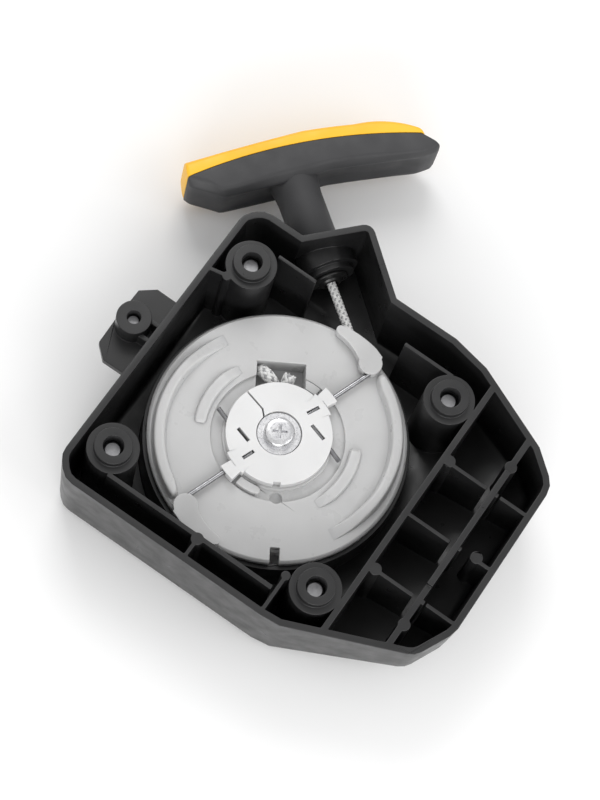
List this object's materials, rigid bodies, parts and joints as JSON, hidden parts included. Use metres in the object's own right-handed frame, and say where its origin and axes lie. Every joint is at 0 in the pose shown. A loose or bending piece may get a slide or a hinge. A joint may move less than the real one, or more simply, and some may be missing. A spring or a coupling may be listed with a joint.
{
  "type": "recoil starter",
  "caption": "Small-engine recoil starter: black housing with ribs and screw bosses, rope reel with pawls and friction hub, spiral spring, rope and T handle",
  "frame": {"origin": "centre of the four mounting holes, on the plane of the raised boss faces, which is on the reel's axis", "axes": "+Z towards the engine along the reel's axis; +X towards the side lobe, square to its long ribs; +Y along the long ribs"},
  "size_m": [0.1649, 0.1784, 0.0386],
  "materials": {
    "black_plastic": "moulded, fine texture",
    "guide_nylon": "smooth",
    "brass": "turned",
    "zinc_steel": "zinc plated",
    "spring_steel": "blued strip",
    "natural_nylon": "translucent natural nylon",
    "rope": "braided",
    "handle_rubber": "matte",
    "yellow_plastic": "satin",
    "white_plastic": "satin",
    "wire_steel": "bright wire",
    "pawl_nylon": "satin"
  },
  "bodies": {
    "housing": {"starter_housing": "black_plastic", "rope_guide": "guide_nylon", "centre_insert": "brass", "spring_cup": "zinc_steel", "spring_cover": "zinc_steel", "recoil_spring": "spring_steel", "rope_lead": "rope", "retaining_washer": "zinc_steel", "centre_screw": "zinc_steel", "mounting_screws": "zinc_steel", "lug_screw": "zinc_steel"},
    "reel": {"reel": "natural_nylon", "rope_coil": "rope", "reel_knot": "rope"},
    "friction_hub": {"friction_hub": "white_plastic", "pawl_wire_a": "wire_steel", "pawl_wire_b": "wire_steel"},
    "pawl_a": {"pawl_a": "pawl_nylon"},
    "pawl_b": {"pawl_b": "pawl_nylon"},
    "handle": {"pull_handle": "handle_rubber", "handle_cap": "yellow_plastic", "rope_end": "rope", "handle_knot": "rope"}
  },
  "joints": [
    {"name": "reel_spin", "type": "hinge", "parent": "housing", "child": "reel", "pos_m": [0, 0, -0.022], "axis": [0, 0, 1], "range_deg": [0, 1300], "stiffness_Nm_per_rad": 0.01, "springref_deg": -286.48},
    {"name": "rope_pull", "type": "slide", "parent": "housing", "child": "handle", "axis": [-0.8039, 0.5948, 0], "range_m": [0, 0.75]},
    {"name": "hub_drag", "type": "hinge", "parent": "reel", "child": "friction_hub", "pos_m": [0, 0, -0.0145], "axis": [0, 0, 1], "range_deg": [-2.4, 0]},
    {"name": "pawl_a_swing", "type": "hinge", "parent": "reel", "child": "pawl_a", "pos_m": [0.01082, 0.03851, -0.014], "axis": [0, 0, 1], "range_deg": [0, 30]},
    {"name": "pawl_b_swing", "type": "hinge", "parent": "reel", "child": "pawl_b", "pos_m": [-0.01082, -0.03851, -0.014], "axis": [0, 0, 1], "range_deg": [0, 30]}
  ],
  "couplings": [
    {"joint": "rope_pull", "follows": "reel_spin", "m_per_rad": 0.033},
    {"joint": "pawl_a_swing", "follows": "hub_drag", "ratio": -12.5},
    {"joint": "pawl_b_swing", "follows": "hub_drag", "ratio": -12.5}
  ]
}
